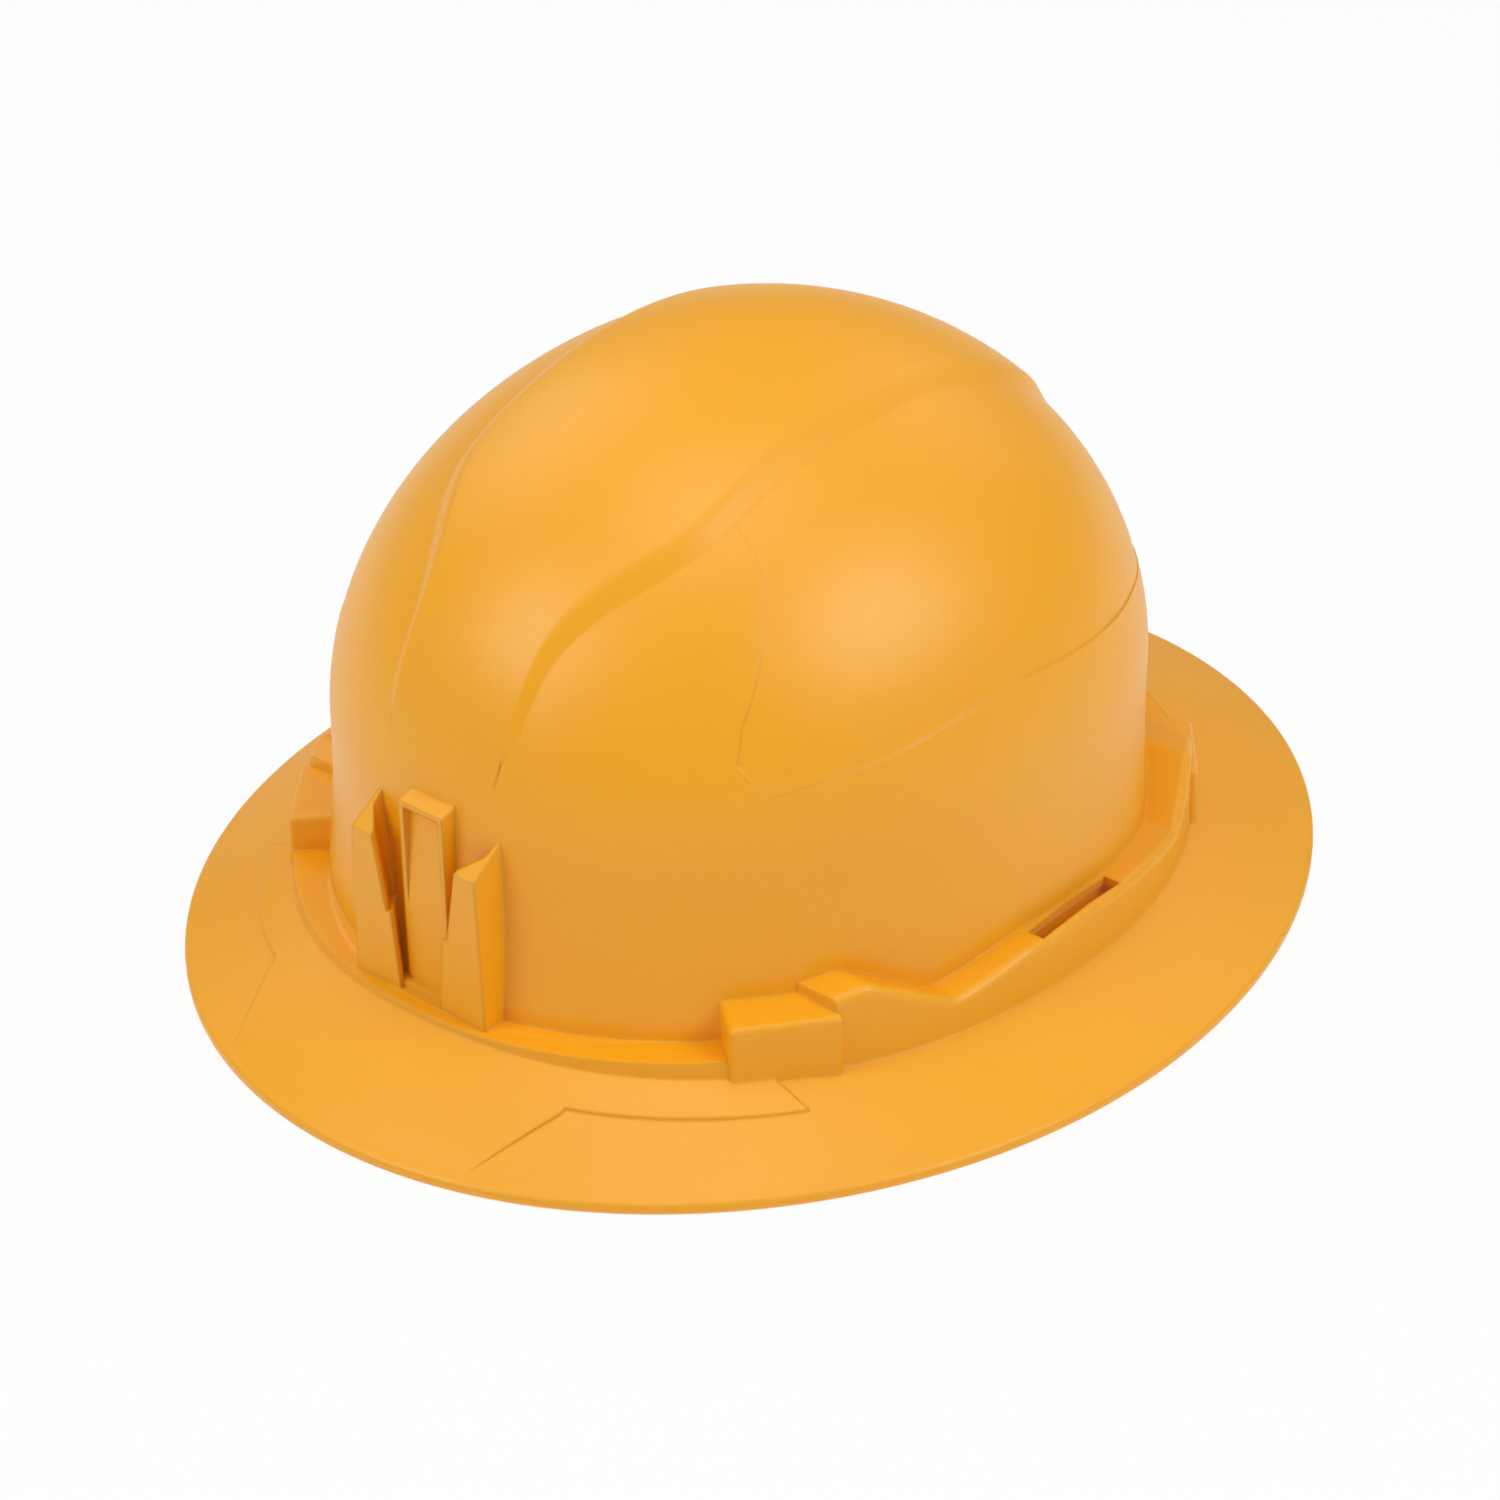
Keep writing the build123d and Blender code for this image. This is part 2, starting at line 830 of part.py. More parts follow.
def lug(corner, inner_space):
    # Thickened patch of the band behind a key plate, cut back to the band's inner face
    plane = diagonal_plane(corner)
    root, end = key_plate_reach - 2 * lug_width, key_plate_reach - lug_clearance
    points = [(root, arm_bottom), (end, arm_bottom), (end, arm_bottom + arm_height), (root, arm_bottom + arm_height)]
    return profile_block(plane, points, lug_width) - inner_space


def lug_hole(corner):
    # Hole for the key's post, with a recess for the post's head on the inner side
    outward = diagonal_plane(corner).x_dir
    centre = diagonal_plane(corner).origin + Vector(0, 0, key_post_level)
    hole = Plane(centre + outward * (key_plate_reach - lug_width), z_dir=outward)
    recess = Plane(centre + outward * (key_plate_reach - key_post_length), z_dir=-outward)
    return [
        extrude(hole * Circle(key_post_radius + lug_hole_clearance), lug_width),
        extrude(recess * Circle(key_post_head_radius + lug_clearance), lug_width / 2),
    ]


def ear_post():
    start = headband_half_width - headband_thickness / 2
    inner = band_radius - band_thickness - ear_post_clearance
    post = Plane((start, ear_post_y, ear_post_level), z_dir=(-1, 0, 0))
    head = Plane((inner, ear_post_y, ear_post_level), z_dir=(-1, 0, 0))
    return extrude(post * Circle(ear_post_radius), start - inner) + extrude(
        head * Circle(ear_post_head_radius), ear_post_head
    )


def headband():
    level, height = headband_bottom, headband_height
    inner_half, inner_front = headband_half_width - headband_thickness, headband_front - headband_thickness
    arm_inner = band_radius + arm_gap
    front = ring_wall(headband_half_width, headband_front, headband_thickness, level, height)
    tail = Pos(inner_half + headband_thickness / 2, headband_tail / 2, level + height / 2) * Box(
        headband_thickness, headband_tail, height
    )
    arm = arc_wall(arm_inner + arm_thickness, arm_thickness, 0, arm_end_angle, arm_bottom, arm_height)
    front_space = extrude(oval(inner_half, inner_front, inner_half, 0), rail_crest)
    rear_space = Pos(0, band_centre_y, 0) * Cylinder(arm_inner, 2 * rail_crest)
    pieces = [*mirror_pair(tail), *mirror_pair(arm), *mirror_pair(ear_post())]
    pieces += [lug(front_left, front_space), lug(front_right, front_space)]
    pieces += [lug(rear_left, rear_space), lug(rear_right, rear_space)]
    holes = [cut for corner in box_places for cut in lug_hole(corner)]
    return front + pieces - holes


# Brow pad


def brow_pad():
    clear = headband_thickness + brow_pad_gap
    ring = ring_wall(
        headband_half_width - clear, headband_front - clear, brow_pad_thickness, brow_pad_bottom, brow_pad_height
    )
    depth = headband_front + brow_pad_thickness
    spread = depth * tan(radians(brow_pad_span))
    wedge = make_face(Polyline((0, 0), (spread, -depth), (-spread, -depth), close=True))
    return ring & extrude(wedge, brow_pad_bottom + brow_pad_height)


# Temple tab, drawn for the wearer's left


def temple_tab():
    front = ear_post_y - tab_front
    rear = band_centre_y - band_thickness / 2 - hinge_gap
    plate = Pos(band_radius - band_thickness / 2, (front + rear) / 2, ear_post_level) * Box(
        band_thickness, rear - front, band_height
    )
    corners = [e for e in plate.edges().filter_by(Axis.X) if e.center().Y < ear_post_y]
    plate = fillet(corners, tab_front / 2)
    axis_x = Plane((0, ear_post_y, ear_post_level), z_dir=(1, 0, 0))
    return plate - extrude(axis_x * Circle(ear_post_radius + post_clearance), band_radius + overrun)


# Rear bands: the left one carries its rack above the pinion, the right one below


def rack_tooth(angle, side):
    radius = band_radius - band_thickness / 2
    centre = arc_point(radius, angle) + Vector(0, 0, ear_post_level)
    turn = radians(angle)
    plane = Plane(centre, x_dir=(-sin(turn), cos(turn), 0), z_dir=(cos(turn), sin(turn), 0))
    half_base, half_tip = tooth_base / 2, tooth_tip / 2
    root, tip, seat = side * rack_root, side * rack_tip, side * (rack_root + tooth_base / 2)
    points = [
        (-half_base, seat),
        (-half_base, root),
        (-half_tip, tip),
        (half_tip, tip),
        (half_base, root),
        (half_base, seat),
    ]
    return extrude(plane * make_face(Polyline(*points, close=True)), band_thickness / 2 - tooth_inset, both=True)


def rear_band(side):
    # Drawn for the wearer's left; side is 1 for a rack above the pinion and -1 for one below
    end = arc_wall(band_radius, band_thickness, 0, band_full_angle, band_bottom, band_height)
    rack_bottom = ear_post_level + side * rack_root - (rack_height if side < 0 else 0)
    rack = arc_wall(band_radius, band_thickness, band_full_angle, band_tip_angle, rack_bottom, rack_height)
    hinge = Pos(band_radius - band_thickness / 2, band_centre_y, band_bottom + band_height / 2) * Cylinder(
        band_thickness / 2, band_height
    )
    radius = band_radius - band_thickness / 2
    pitch = degrees(2 * pi * pinion_pitch_radius / pinion_teeth / radius)
    middle = 90 - degrees(rack_lag / radius)
    angles = [middle + (i + 0.5) * pitch for i in range(-pinion_teeth * 2, pinion_teeth)]
    teeth = [rack_tooth(angle, side) for angle in angles if rack_start_angle < angle < rack_stop_angle]
    return end + [rack, hinge, *teeth]


# Ratchet housing


def cover_wall(radius, thickness, bottom, height):
    return arc_wall(radius, thickness, 90 - cover_half_angle, 90 + cover_half_angle, bottom, height)


def radial_plane(radius, angle, level):
    turn = radians(angle)
    return Plane(arc_point(radius, angle) + Vector(0, 0, level), z_dir=(cos(turn), sin(turn), 0))


def boss_places(radius):
    edge = cover_thickness + cover_join + boss_radius
    levels = (cover_bottom + edge, cover_bottom + cover_height - edge)
    return [radial_plane(radius, 90 + side * boss_angle, level) for side in (-1, 1) for level in levels]


def shaft_plane(y):
    return Plane((0, y, ear_post_level), z_dir=(0, 1, 0))


inner_cover_radius = band_radius - band_thickness - cover_gap
outer_cover_radius = band_radius + cover_gap + cover_thickness
knob_front = band_centre_y + outer_cover_radius + knob_gap


def ratchet_inner_cover():
    inner = inner_cover_radius - cover_thickness
    wall_piece = cover_wall(inner_cover_radius, cover_thickness, cover_bottom, cover_height)
    holes = [
        extrude(place * Circle(screw_radius + screw_fit), cover_thickness + overrun)
        for place in boss_places(inner - overrun / 2)
    ]
    heads = [
        extrude(place * Circle(screw_head_radius + screw_fit), screw_head + overrun)
        for place in boss_places(inner - overrun)
    ]
    service = extrude(shaft_plane(band_centre_y + inner - overrun) * Circle(service_hole_radius), 3 * overrun)
    return wall_piece - [*holes, *heads, service]


def ratchet_outer_cover():
    face = cover_wall(outer_cover_radius, cover_thickness, cover_bottom, cover_height)
    join = inner_cover_radius + cover_join
    depth = outer_cover_radius - join
    bottom = cover_wall(outer_cover_radius, depth, cover_bottom, cover_thickness)
    top = cover_wall(outer_cover_radius, depth, cover_bottom + cover_height - cover_thickness, cover_thickness)
    bosses = [extrude(place * Circle(boss_radius), depth - cover_thickness / 2) for place in boss_places(join)]
    holes = [
        extrude(place * Circle(screw_radius + screw_fit), depth - cover_thickness)
        for place in boss_places(join - cover_join)
    ]
    root = band_centre_y + outer_cover_radius - cover_thickness / 2
    pad = extrude(shaft_plane(root) * Circle(cover_pad_radius), knob_front - knob_gap / 2 - root)
    pad_inside = extrude(
        shaft_plane(band_centre_y) * Circle(cover_pad_radius + overrun), outer_cover_radius
    ) & Pos(0, band_centre_y, 0) * Cylinder(outer_cover_radius - cover_thickness, 3 * cover_height)
    collar_end = knob_front + knob_cavity * collar_height_share
    collar = extrude(shaft_plane(root) * Circle(collar_radius), collar_end - root)
    collar_bore = extrude(
        shaft_plane(knob_front - knob_gap / 2) * Circle(knob_hub_radius + collar_gap), knob_cavity
    )
    bore = extrude(shaft_plane(band_centre_y) * Circle(shaft_radius + shaft_clearance), 2 * outer_cover_radius)
    return face + [bottom, top, *bosses, pad - pad_inside, collar - pad_inside] - [collar_bore, bore, *holes]


def cover_screws():
    inner = inner_cover_radius - cover_thickness
    length = band_thickness + 2 * cover_gap
    heads = [extrude(place * Circle(screw_head_radius), screw_head) for place in boss_places(inner)]
    shanks = [extrude(place * Circle(screw_radius), length) for place in boss_places(inner + screw_head)]
    return Compound([head + shank for head, shank in zip(heads, shanks)])


def nape_pad():
    radius = inner_cover_radius - cover_thickness - nape_pad_gap
    return arc_wall(
        radius,
        nape_pad_thickness,
        90 - nape_pad_half_angle,
        90 + nape_pad_half_angle,
        cover_bottom + nape_pad_margin,
        cover_height - 2 * nape_pad_margin,
    )


# Adjustment knob and what turns with it


def adjustment_knob():
    body = extrude(shaft_plane(knob_front) * Circle(knob_radius), knob_height)
    rear_edge = body.edges().sort_by(Axis.Y)[-1]
    body = fillet(rear_edge, knob_gap * 2)
    cavity = extrude(shaft_plane(knob_front) * Circle(knob_cavity_radius), knob_cavity)
    cavity -= extrude(shaft_plane(knob_front) * Circle(knob_hub_radius), knob_cavity)
    notch = Pos(knob_cavity_radius, knob_front + knob_cavity / 2, 0) * Rot(90, 0, 0) * Cylinder(
        detent_notch_depth, knob_cavity
    )
    notches = [
        Pos(0, 0, ear_post_level) * Rot(0, 360 * i / detent_notches, 0) * notch for i in range(detent_notches)
    ]
    socket = extrude(shaft_plane(knob_front) * Circle(shaft_radius + shaft_fit), shaft_socket)
    screw_depth = pinion_start + pinion_screw_length + shaft_fit - knob_front
    screw = extrude(shaft_plane(knob_front) * Circle(pinion_screw_radius + shaft_fit), screw_depth)
    return body - [cavity, *notches, socket, screw]


def knob_grip():
    margin = grip_rib_radius / 3
    start = knob_front + margin
    length = knob_height - 2 * margin
    ring = extrude(shaft_plane(start) * Circle(grip_radius - grip_rib_radius / 2), length)
    rib = extrude(Plane((grip_radius - grip_rib_radius, start, 0), z_dir=(0, 1, 0)) * Circle(grip_rib_radius), length)
    ribs = [Pos(0, 0, ear_post_level) * Rot(0, 360 * i / grip_ribs, 0) * rib for i in range(grip_ribs)]
    bore = extrude(shaft_plane(start) * Circle(knob_radius + grip_fit), length)
    return ring + ribs - bore


pinion_start = band_centre_y + inner_cover_radius + pinion_gap
pinion_length = band_thickness + 2 * cover_gap - pinion_gap - 2 * pinion_gap


def drive_pinion():
    gear = Circle(pinion_root_radius)
    half_base, half_tip = tooth_base / 2, tooth_tip / 2
    tooth = make_face(
        Polyline(
            (-half_base, 0),
            (-half_base, pinion_root_radius),
            (-half_tip, pinion_tip_radius),
            (half_tip, pinion_tip_radius),
            (half_base, pinion_root_radius),
            (half_base, 0),
            close=True,
        )
    )
    gear += [Rot(0, 0, 360 * i / pinion_teeth) * tooth for i in range(pinion_teeth)]
    blank = extrude(shaft_plane(pinion_start) * gear, pinion_length)
    shaft_end = knob_front + shaft_socket - shaft_fit
    shaft = extrude(shaft_plane(pinion_start) * Circle(shaft_radius), shaft_end - pinion_start)
    hole = extrude(shaft_plane(pinion_start) * Circle(pinion_screw_radius + shaft_fit), shaft_end - pinion_start)
    return blank + shaft - hole


def pinion_screw():
    head = extrude(shaft_plane(pinion_start - pinion_screw_head) * Circle(pinion_screw_head_radius), pinion_screw_head)
    return head + extrude(shaft_plane(pinion_start) * Circle(pinion_screw_radius), pinion_screw_length)


def detent_spring():
    start = knob_front + knob_gap / 2
    inner = collar_radius + detent_ring_gap
    tip_reach = knob_cavity_radius - detent_tip_gap - detent_tip_radius
    ring = extrude(shaft_plane(start) * Circle(detent_ring_outer), detent_thickness)
    arm = Pos(tip_reach / 2, start + detent_thickness / 2, ear_post_level) * Box(
        tip_reach, detent_thickness, detent_arm_width
    )
    tip = extrude(Plane((tip_reach, start, ear_post_level), z_dir=(0, 1, 0)) * Circle(detent_tip_radius), detent_thickness)
    arms = [*mirror_pair(arm), *mirror_pair(tip)]
    return ring + arms - extrude(shaft_plane(start) * Circle(inner), detent_thickness)


nodes = {
    "shell": shell(),
    "front_left_key": key(front_left),
    "front_right_key": key(front_right),
    "rear_left_key": key(rear_left),
    "rear_right_key": key(rear_right),
    "lower_crown_strap": crown_strap(front_left, rear_right, strap_crown),
    "upper_crown_strap": crown_strap(front_right, rear_left, strap_crown + strap_thickness + strap_gap),
    "crown_pad": crown_pad(),
    "headband": headband(),
    "brow_pad": brow_pad(),
    "left_temple_tab": temple_tab(),
    "right_temple_tab": mirror(temple_tab(), about=Plane.YZ),
    "left_rear_band": rear_band(1),
    "right_rear_band": mirror(rear_band(-1), about=Plane.YZ),
    "ratchet_inner_cover": ratchet_inner_cover(),
    "ratchet_outer_cover": ratchet_outer_cover(),
    "cover_screws": cover_screws(),
    "nape_pad": nape_pad(),
    "adjustment_knob": adjustment_knob(),
    "knob_grip": knob_grip(),
    "drive_pinion": drive_pinion(),
    "pinion_screw": pinion_screw(),
    "detent_spring": detent_spring(),
}

os.makedirs("parts", exist_ok=True)
for name, solid in nodes.items():
    export_step(solid, f"parts/{name}.step")
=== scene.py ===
import bmesh
import bpy
from math import cos, pi, radians, sin
from mathutils import Matrix, Vector
from mathutils.bvhtree import BVHTree
from mathutils.kdtree import KDTree


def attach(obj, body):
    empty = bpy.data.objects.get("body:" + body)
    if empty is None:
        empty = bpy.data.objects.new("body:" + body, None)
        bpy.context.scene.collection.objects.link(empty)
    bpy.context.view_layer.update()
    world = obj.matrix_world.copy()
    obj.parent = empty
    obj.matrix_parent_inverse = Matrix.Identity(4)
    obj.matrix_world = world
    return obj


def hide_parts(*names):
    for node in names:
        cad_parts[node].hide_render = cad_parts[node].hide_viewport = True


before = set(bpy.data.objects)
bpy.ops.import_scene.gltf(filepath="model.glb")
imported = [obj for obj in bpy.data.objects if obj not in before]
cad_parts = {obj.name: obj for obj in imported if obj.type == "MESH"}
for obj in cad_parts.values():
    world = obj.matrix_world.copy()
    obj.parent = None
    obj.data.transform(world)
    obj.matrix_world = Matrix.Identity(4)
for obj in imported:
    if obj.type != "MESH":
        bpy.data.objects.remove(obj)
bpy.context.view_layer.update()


# Camera
# Looks down on the wearer's front left, as the photograph does, through a long lens.
# The place, turn and lens come from fitting the hat's outline to the picture.

camera_place = (0.44852, -0.54610, 0.44636)
camera_azimuth = 39.56
camera_elevation = 30.34
camera_roll = 0.12
camera_lens = 76.14
camera_sensor = 36.0

camera_data = bpy.data.cameras.new("photo_camera")
camera_data.lens = camera_lens
camera_data.sensor_width = camera_sensor
camera = bpy.data.objects.new("photo_camera", camera_data)
bpy.context.scene.collection.objects.link(camera)
camera.matrix_world = (
    Matrix.Translation(camera_place)
    @ Matrix.Rotation(radians(camera_azimuth), 4, "Z")
    @ Matrix.Rotation(radians(90 - camera_elevation), 4, "X")
    @ Matrix.Rotation(radians(camera_roll), 4, "Z")
)
bpy.context.scene.camera = camera
bpy.context.scene.view_settings.view_transform = "Standard"


# Studio
# A pale seamless floor and background under soft boxes, as for a catalogue picture.
# The floor is lightened only where the camera sees it, straight or in a reflection.
# It is clear from below and casts no shadow, so the lower box lights the suspension.

floor_colour = "#f4f4f4"
floor_side = 12.0
floor_glow = 0.92
world_light = 0.27
soft_box_side = 0.80
soft_box_aim = (0.0, 0.0, 0.06)
# Each box with its place and its power
soft_boxes = {
    "overhead_box": ((0.03, -0.04, 1.56), 4.9),
    "front_box": ((-0.40, -1.08, 1.02), 7.7),
    "left_side_box": ((1.13, 0.19, 1.02), 8.8),
    "right_rear_box": ((-1.13, 0.21, 1.02), 2.7),
    "rear_box": ((0.01, 1.15, 1.02), 1.6),
    "lower_box": ((0.0, 0.0, -1.2), 6.0),
}


def linear(hex_colour):
    # sRGB hex to the linear colour that shaders take
    parts = [int(hex_colour[i : i + 2], 16) / 255 for i in (1, 3, 5)]
    return [c / 12.92 if c <= 0.04045 else ((c + 0.055) / 1.055) ** 2.4 for c in parts] + [1.0]


def add_node(tree, kind, inputs=None, **settings):
    # A node with its settings, its input values and its links
    node = tree.nodes.new(kind)
    for name, value in settings.items():
        setattr(node, name, value)
    for name, value in (inputs or {}).items():
        if isinstance(value, bpy.types.NodeSocket):
            tree.links.new(value, node.inputs[name])
        else:
            node.inputs[name].default_value = value
    return node


def new_material(name):
    material = bpy.data.materials.new(name)
    material.use_nodes = True
    material.node_tree.nodes.clear()
    return material, material.node_tree


def add_object(name, mesh):
    obj = bpy.data.objects.new(name, mesh)
    bpy.context.scene.collection.objects.link(obj)
    return obj


floor_paint, tree = new_material("white_studio_paper")
paper = add_node(tree, "ShaderNodeBsdfDiffuse", {"Color": linear(floor_colour)})
glow = add_node(tree, "ShaderNodeEmission", {"Color": (1, 1, 1, 1), "Strength": 1.0})
path = add_node(tree, "ShaderNodeLightPath")
seen = add_node(
    tree,
    "ShaderNodeMath",
    {0: path.outputs["Is Camera Ray"], 1: path.outputs["Is Glossy Ray"]},
    operation="MAXIMUM",
)
share = add_node(tree, "ShaderNodeMath", {0: seen.outputs[0], 1: floor_glow}, operation="MULTIPLY")
mixed = add_node(
    tree, "ShaderNodeMixShader", {0: share.outputs[0], 1: paper.outputs[0], 2: glow.outputs[0]}
)
under = add_node(tree, "ShaderNodeNewGeometry")
passed = add_node(
    tree,
    "ShaderNodeMath",
    {0: under.outputs["Backfacing"], 1: path.outputs["Is Shadow Ray"]},
    operation="MAXIMUM",
)
clear = add_node(tree, "ShaderNodeBsdfTransparent")
sided = add_node(
    tree, "ShaderNodeMixShader", {0: passed.outputs[0], 1: mixed.outputs[0], 2: clear.outputs[0]}
)
add_node(tree, "ShaderNodeOutputMaterial", {"Surface": sided.outputs[0]})

half = floor_side / 2
corners = [(-half, -half, 0), (half, -half, 0), (half, half, 0), (-half, half, 0)]
floor_mesh = bpy.data.meshes.new("floor")
floor_mesh.from_pydata(corners, [], [(0, 1, 2, 3)])
floor_mesh.materials.append(floor_paint)
add_object("floor", floor_mesh)

world = bpy.data.worlds.new("studio_air")
world.use_nodes = True
tree = world.node_tree
tree.nodes.clear()
path = add_node(tree, "ShaderNodeLightPath")
air = add_node(tree, "ShaderNodeBackground", {"Color": (1, 1, 1, 1), "Strength": world_light})
backdrop = add_node(tree, "ShaderNodeBackground", {"Color": (1, 1, 1, 1), "Strength": 1.0})
mixed = add_node(
    tree,
    "ShaderNodeMixShader",
    {0: path.outputs["Is Camera Ray"], 1: air.outputs[0], 2: backdrop.outputs[0]},
)
add_node(tree, "ShaderNodeOutputWorld", {"Surface": mixed.outputs[0]})
bpy.context.scene.world = world

for name, (place, power) in soft_boxes.items():
    light = bpy.data.lights.new(name, "AREA")
    light.shape = "RECTANGLE"
    light.size = light.size_y = soft_box_side
    light.energy = power
    lamp = bpy.data.objects.new(name, light)
    lamp.location = place
    aim = Vector(soft_box_aim) - Vector(place)
    lamp.rotation_euler = aim.to_track_quat("-Z", "Y").to_euler()
    bpy.context.scene.collection.objects.link(lamp)


# Shell
# One injection moulding in high density polyethylene, with the pigment in the plastic.
# Satin from a fine blasted mould: broad soft highlights and edges with a small moulded radius.

shell_colour = "#f7ae14"
shell_shade = "#f3a710"
shell_cloud_size = 0.055
shell_grain_size = 0.0009
shell_edge_radius = 0.0012
shell_subsurface_share = 0.12
shell_subsurface_reach = 0.002
shell_subsurface_rgb_shares = (1.0, 0.45, 0.12)
roughness_spread = 0.03
edge_samples = 6


def dress(nodes, material):
    # CAD nodes keep their meshes and take a material in every slot
    for node in nodes:
        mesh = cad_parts[node].data
        mesh.materials.clear()
        mesh.materials.append(material)


def moulded_plastic(
    name, colour, shade, cloud_size, grain_size, edge_radius, roughness, grain_depth, ior
):
    # A moulding: faint clouds in its colour and gloss, a fine grain and small rounded edges
    material, tree = new_material(name)
    place = add_node(tree, "ShaderNodeTexCoord")
    cloud = add_node(
        tree,
        "ShaderNodeTexNoise",
        {
            "Vector": place.outputs["Object"],
            "Scale": 1 / cloud_size,
            "Detail": 2.0,
            "Roughness": 0.5,
        },
    )
    tint = add_node(
        tree,
        "ShaderNodeMix",
        {0: cloud.outputs["Fac"], 6: linear(colour), 7: linear(shade)},
        data_type="RGBA",
    )
    grain = add_node(
        tree,
        "ShaderNodeTexNoise",
        {
            "Vector": place.outputs["Object"],
            "Scale": 1 / grain_size,
            "Detail": 3.0,
            "Roughness": 0.6,
        },
    )
    rounded = add_node(tree, "ShaderNodeBevel", {"Radius": edge_radius}, samples=edge_samples)
    bump = add_node(
        tree,
        "ShaderNodeBump",
        {
            "Height": grain.outputs["Fac"],
            "Distance": grain_depth,
            "Strength": 1.0,
            "Normal": rounded.outputs[0],
        },
    )
    sheen = add_node(
        tree,
        "ShaderNodeMapRange",
        {
            "Value": cloud.outputs["Fac"],
            "To Min": roughness - roughness_spread,
            "To Max": roughness + roughness_spread,
        },
    )
    surface = add_node(
        tree,
        "ShaderNodeBsdfPrincipled",
        {
            "Base Color": tint.outputs[2],
            "Roughness": sheen.outputs["Result"],
            "IOR": ior,
            "Normal": bump.outputs["Normal"],
        },
    )
    add_node(tree, "ShaderNodeOutputMaterial", {"Surface": surface.outputs[0]})
    return material, surface


# High density polyethylene, moulded, satin: waxy, a little light passes into it
shell_plastic, surface = moulded_plastic(
    "satin_moulded_polyethylene",
    shell_colour,
    shell_shade,
    shell_cloud_size,
    shell_grain_size,
    shell_edge_radius,
    roughness=0.40,
    grain_depth=0.000008,
    ior=1.54,
)
surface.inputs["Subsurface Weight"].default_value = shell_subsurface_share
surface.inputs["Subsurface Radius"].default_value = shell_subsurface_rgb_shares
surface.inputs["Subsurface Scale"].default_value = shell_subsurface_reach
dress(["shell"], shell_plastic)


# Headband, keys and bands
# Flexible dark grey polyethylene mouldings that plug together without tools.
# Matt, with a fine eroded texture from the mould.

band_colour = "#46484c"
band_shade = "#3f4145"

band_plastic, _ = moulded_plastic(
    "matt_flexible_polyethylene",
    band_colour,
    band_shade,
    cloud_size=0.02,
    grain_size=0.0006,
    edge_radius=0.0004,
    roughness=0.55,
    grain_depth=0.00001,
    ior=1.52,
)
dress(
    [
        "front_left_key",
        "front_right_key",
        "rear_left_key",
        "rear_right_key",
        "headband",
        "left_temple_tab",
        "right_temple_tab",
        "left_rear_band",
        "right_rear_band",
    ],
    band_plastic,
)


# Ratchet housing and knob
# Black nylon mouldings, stiffer and a little glossier than the bands.
# The covers are screwed together over the racks and the pinion.

ratchet_colour = "#1d1e20"
ratchet_shade = "#191a1c"

ratchet_plastic, _ = moulded_plastic(
    "black_moulded_nylon",
    ratchet_colour,
    ratchet_shade,
    cloud_size=0.015,
    grain_size=0.0005,
    edge_radius=0.0004,
    roughness=0.45,
    grain_depth=0.000008,
    ior=1.53,
)
dress(
    [
        "ratchet_inner_cover",
        "ratchet_outer_cover",
        "adjustment_knob",
        "drive_pinion",
        "detent_spring",
    ],
    ratchet_plastic,
)


# Knob grip
# A soft ribbed ring of thermoplastic rubber moulded over the knob.
# Dull and dense, with hardly any highlight.

grip_colour = "#151516"
grip_shade = "#121213"

grip_rubber, _ = moulded_plastic(
    "thermoplastic_rubber",
    grip_colour,
    grip_shade,
    cloud_size=0.01,
    grain_size=0.0004,
    edge_radius=0.0004,
    roughness=0.78,
    grain_depth=0.00001,
    ior=1.5,
)
dress(["knob_grip"], grip_rubber)


# Screws
# Small zinc plated steel screws that hold the covers and the pinion.
# Bright but slightly clouded plating.

screw_colour = "#c9cacb"
plating_cloud_size = 0.0008
plating_roughness = (0.25, 0.4)

screw_steel, tree = new_material("zinc_plated_steel")
place = add_node(tree, "ShaderNodeTexCoord")
cloud = add_node(
    tree,
    "ShaderNodeTexNoise",
    {"Vector": place.outputs["Object"], "Scale": 1 / plating_cloud_size, "Detail": 2.0},
)
gloss = add_node(
    tree,
    "ShaderNodeMapRange",
    {
        "Value": cloud.outputs["Fac"],
        "To Min": plating_roughness[0],
        "To Max": plating_roughness[1],
    },
)
surface = add_node(
    tree,
    "ShaderNodeBsdfPrincipled",
    {"Base Color": linear(screw_colour), "Metallic": 1.0, "Roughness": gloss.outputs["Result"]},
)
add_node(tree, "ShaderNodeOutputMaterial", {"Surface": surface.outputs[0]})
dress(["cover_screws", "pinion_screw"], screw_steel)


# Crown straps
# Two 16 mm polyester webbings that cross under the crown and carry the hat on the head.
# Woven in a herringbone with a firm selvedge; each end is folded into the slot of a key.

strap_half_width = 0.008
strap_half_thickness = 0.0007
strap_crossing = Vector((0, -0.00535, 0))
strap_turn = radians(43.65)
strap_reach = 0.0948
strap_foot = 0.036
strap_fold = 0.0007
strap_fold_turns = (270, 240, 210)
strap_tail_end = 0.0979
strap_arch_steps = 72
lower_strap_crown = 0.1173
upper_strap_crown = 0.1190
# Half of the section, as shares of the half width and the half thickness
strap_section_shares = (
    (1.0, 0.35),
    (0.965, 0.85),
    (0.9, 1.0),
    (0.82, 1.0),
    (0.77, 0.84),
    (0.4, 0.86),
    (0.0, 0.86),
)
webbing_colour = "#4b4d50"
# The second webbing colour is painted shade for the grooves between the ribs
webbing_painted_shade = "#37393b"
yarn_width = 0.0011
yarn_rise = 0.0024
herringbone_width = 0.004
yarn_depth = 0.00016
fibre_size = 0.0005
rib_height_range = (-0.6, 1.6)

